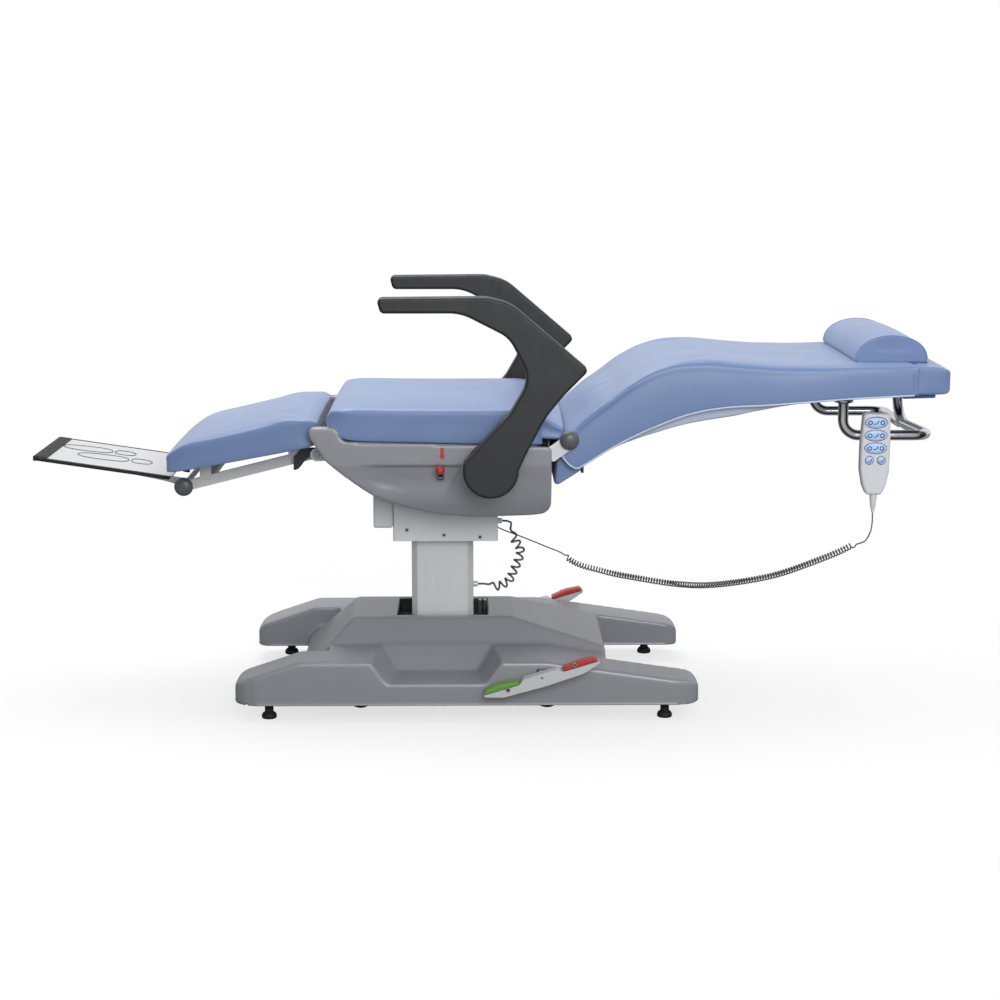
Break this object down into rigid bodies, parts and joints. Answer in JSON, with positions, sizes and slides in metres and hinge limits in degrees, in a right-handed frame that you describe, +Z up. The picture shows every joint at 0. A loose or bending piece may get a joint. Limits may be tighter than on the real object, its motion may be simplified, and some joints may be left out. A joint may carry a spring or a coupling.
{
  "type": "ear nose and throat chair",
  "caption": "Reclining examination chair with a blue padded seat, back and leg rest, folding armrests and a hand control, on a lifting column and a grey wheeled base.",
  "frame": {"origin": "floor level under the middle of the chair's length and width, cords left out", "axes": "+X towards the head end, +Y towards the patient's right, +Z up"},
  "size_m": [1.9254, 0.684, 0.8919],
  "materials": {
    "blue_upholstery": "matt polyurethane leathercloth, sewn",
    "grey_cover": "moulded, metallic grey lacquer",
    "white_metal": "white powder coat",
    "aluminium": "satin anodised extrusion",
    "black_steel": "black paint",
    "grey_steel": "grey paint",
    "black_plastic": "fine-grained moulding",
    "grey_plastic": "satin moulding",
    "black_rubber": "matt",
    "chrome": "bright chrome plate",
    "red_plastic": "moulded",
    "green_plastic": "moulded",
    "pale_plastic": "satin moulding",
    "pale_plate": "laminate on steel sheet",
    "blue_keys": "soft keys",
    "grey_cord": "matt grey sheath"
  },
  "bodies": {
    "base": {"base_cover": "grey_cover", "base_frame": "black_steel", "column_outer": "aluminium", "supply_cord": "grey_cord"},
    "carriage": {"castor_carriage": "black_steel"},
    "rocker": {"brake_rocker": "white_metal", "red_pad_left": "red_plastic", "red_pad_right": "red_plastic", "green_pad_left": "green_plastic", "green_pad_right": "green_plastic"},
    "column_stage": {"column_middle": "aluminium"},
    "lift": {"column_inner": "aluminium", "column_head": "white_metal", "control_box": "white_metal", "swivel_bearing": "black_steel"},
    "seat": {"seat_frame": "black_steel", "seat_shell": "grey_cover", "seat_cushion": "blue_upholstery", "handset_cord": "grey_cord"},
    "lever": {"swivel_lever": "red_plastic"},
    "arm_left": {"armrest_left": "black_plastic"},
    "arm_right": {"armrest_right": "black_plastic"},
    "back": {"backrest_cushion": "blue_upholstery", "backrest_cover": "grey_cover", "backrest_frame": "black_steel", "backrest_flap": "blue_upholstery", "headrest_hood": "blue_upholstery", "headrest_pillow": "blue_upholstery", "push_bar": "chrome", "handset_body": "pale_plastic"},
    "leg": {"legrest_cushion": "blue_upholstery", "legrest_frame": "grey_steel"},
    "step": {"footplate": "pale_plate", "footplate_rim": "black_rubber", "footplate_bracket": "grey_steel"},
    "foot_1": {"levelling_foot_1": "black_rubber"},
    "foot_2": {"levelling_foot_2": "black_rubber"},
    "foot_3": {"levelling_foot_3": "black_rubber"},
    "foot_4": {"levelling_foot_4": "black_rubber"},
    "castor_1": {"castor_fork_1": "black_plastic"},
    "wheel_1": {"castor_wheel_1": "black_rubber"},
    "castor_2": {"castor_fork_2": "black_plastic"},
    "wheel_2": {"castor_wheel_2": "black_rubber"},
    "castor_3": {"castor_fork_3": "black_plastic"},
    "wheel_3": {"castor_wheel_3": "black_rubber"},
    "castor_4": {"castor_fork_4": "black_plastic"},
    "wheel_4": {"castor_wheel_4": "black_rubber"},
    "back_knob_l": {"back_knob_left": "grey_plastic"},
    "back_knob_r": {"back_knob_right": "grey_plastic"},
    "foot_knob_l": {"foot_knob_left": "grey_plastic"},
    "foot_knob_r": {"foot_knob_right": "grey_plastic"},
    "rocker_key_body_1": {"rocker_key_1": "blue_keys"},
    "rocker_key_body_2": {"rocker_key_2": "blue_keys"},
    "rocker_key_body_3": {"rocker_key_3": "blue_keys"},
    "push_key_body_1": {"push_key_1": "blue_keys"},
    "push_key_body_2": {"push_key_2": "blue_keys"}
  },
  "joints": [
    {"name": "foot_screw_1", "type": "slide", "parent": "base", "child": "foot_1", "axis": [0, 0, 1], "range_m": [-0.01, 0]},
    {"name": "foot_screw_2", "type": "slide", "parent": "base", "child": "foot_2", "axis": [0, 0, 1], "range_m": [-0.01, 0]},
    {"name": "foot_screw_3", "type": "slide", "parent": "base", "child": "foot_3", "axis": [0, 0, 1], "range_m": [-0.01, 0]},
    {"name": "foot_screw_4", "type": "slide", "parent": "base", "child": "foot_4", "axis": [0, 0, 1], "range_m": [-0.01, 0]},
    {"name": "brake_tilt", "type": "hinge", "parent": "base", "child": "rocker", "pos_m": [0.11541, 0, 0.103], "axis": [0, 1, 0], "range_deg": [0, 34]},
    {"name": "carriage_drop", "type": "slide", "parent": "base", "child": "carriage", "axis": [0, 0, 1], "range_m": [-0.00705, 0]},
    {"name": "castor_swivel_1", "type": "hinge", "parent": "carriage", "child": "castor_1", "pos_m": [-0.28359, -0.196, 0.034], "axis": [0, 0, 1], "continuous": true},
    {"name": "wheel_spin_1", "type": "hinge", "parent": "castor_1", "child": "wheel_1", "pos_m": [-0.26759, -0.196, 0.034], "axis": [0, 1, 0], "continuous": true},
    {"name": "castor_swivel_2", "type": "hinge", "parent": "carriage", "child": "castor_2", "pos_m": [-0.28359, 0.196, 0.034], "axis": [0, 0, 1], "continuous": true},
    {"name": "wheel_spin_2", "type": "hinge", "parent": "castor_2", "child": "wheel_2", "pos_m": [-0.26759, 0.196, 0.034], "axis": [0, 1, 0], "continuous": true},
    {"name": "castor_swivel_3", "type": "hinge", "parent": "carriage", "child": "castor_3", "pos_m": [0.11541, -0.196, 0.034], "axis": [0, 0, 1], "continuous": true},
    {"name": "wheel_spin_3", "type": "hinge", "parent": "castor_3", "child": "wheel_3", "pos_m": [0.13141, -0.196, 0.034], "axis": [0, 1, 0], "continuous": true},
    {"name": "castor_swivel_4", "type": "hinge", "parent": "carriage", "child": "castor_4", "pos_m": [0.11541, 0.196, 0.034], "axis": [0, 0, 1], "continuous": true},
    {"name": "wheel_spin_4", "type": "hinge", "parent": "castor_4", "child": "wheel_4", "pos_m": [0.13141, 0.196, 0.034], "axis": [0, 1, 0], "continuous": true},
    {"name": "column_lift", "type": "slide", "parent": "base", "child": "lift", "axis": [0, 0, 1], "range_m": [0, 0.25]},
    {"name": "stage_lift", "type": "slide", "parent": "base", "child": "column_stage", "axis": [0, 0, 1], "range_m": [0, 0.125]},
    {"name": "seat_swivel", "type": "hinge", "parent": "lift", "child": "seat", "pos_m": [-0.09359, 0, 0.4503], "axis": [0, 0, 1], "range_deg": [-90, 90]},
    {"name": "lever_press", "type": "slide", "parent": "seat", "child": "lever", "axis": [0, 0, 1], "range_m": [-0.012, 0], "stiffness_N_per_m": 900, "springref_m": 0.004},
    {"name": "arm_left_fold", "type": "hinge", "parent": "seat", "child": "arm_left", "pos_m": [0.01041, -0.296, 0.538], "axis": [0, 1, 0], "range_deg": [0, 80]},
    {"name": "arm_right_fold", "type": "hinge", "parent": "seat", "child": "arm_right", "pos_m": [0.01041, 0.296, 0.538], "axis": [0, 1, 0], "range_deg": [0, 80]},
    {"name": "back_recline", "type": "hinge", "parent": "seat", "child": "back", "pos_m": [0.17341, 0, 0.591], "axis": [0, -1, 0], "range_deg": [0, 70]},
    {"name": "leg_tilt", "type": "hinge", "parent": "seat", "child": "leg", "pos_m": [-0.35559, 0, 0.548], "axis": [0, 1, 0], "range_deg": [-52, 10]},
    {"name": "step_tilt", "type": "hinge", "parent": "leg", "child": "step", "pos_m": [-0.64159, 0, 0.476], "axis": [0, 1, 0], "range_deg": [-8, 25]},
    {"name": "back_knob_left_turn", "type": "hinge", "parent": "seat", "child": "back_knob_l", "pos_m": [0.17341, -0.2668, 0.591], "axis": [0, 1, 0], "continuous": true},
    {"name": "back_knob_right_turn", "type": "hinge", "parent": "seat", "child": "back_knob_r", "pos_m": [0.17341, 0.2668, 0.591], "axis": [0, 1, 0], "continuous": true},
    {"name": "foot_knob_left_turn", "type": "hinge", "parent": "leg", "child": "foot_knob_l", "pos_m": [-0.64159, -0.1543, 0.476], "axis": [0, 1, 0], "continuous": true},
    {"name": "foot_knob_right_turn", "type": "hinge", "parent": "leg", "child": "foot_knob_r", "pos_m": [-0.64159, 0.1543, 0.476], "axis": [0, 1, 0], "continuous": true},
    {"name": "rocker_key_1_tilt", "type": "hinge", "parent": "back", "child": "rocker_key_body_1", "pos_m": [0.81641, -0.223, 0.6205], "axis": [0, 0, 1], "range_deg": [-3, 3], "stiffness_Nm_per_rad": 0.5},
    {"name": "rocker_key_2_tilt", "type": "hinge", "parent": "back", "child": "rocker_key_body_2", "pos_m": [0.81641, -0.223, 0.5935], "axis": [0, 0, 1], "range_deg": [-3, 3], "stiffness_Nm_per_rad": 0.5},
    {"name": "rocker_key_3_tilt", "type": "hinge", "parent": "back", "child": "rocker_key_body_3", "pos_m": [0.81641, -0.223, 0.5665], "axis": [0, 0, 1], "range_deg": [-3, 3], "stiffness_Nm_per_rad": 0.5},
    {"name": "push_key_1_press", "type": "slide", "parent": "back", "child": "push_key_body_1", "axis": [0, 1, 0], "range_m": [0, 0.0012], "stiffness_N_per_m": 600, "springref_m": -0.001},
    {"name": "push_key_2_press", "type": "slide", "parent": "back", "child": "push_key_body_2", "axis": [0, 1, 0], "range_m": [0, 0.0012], "stiffness_N_per_m": 600, "springref_m": -0.001}
  ],
  "couplings": [
    {"joint": "carriage_drop", "follows": "brake_tilt", "m_per_rad": -0.011796},
    {"joint": "stage_lift", "follows": "column_lift", "ratio": 0.5}
  ]
}
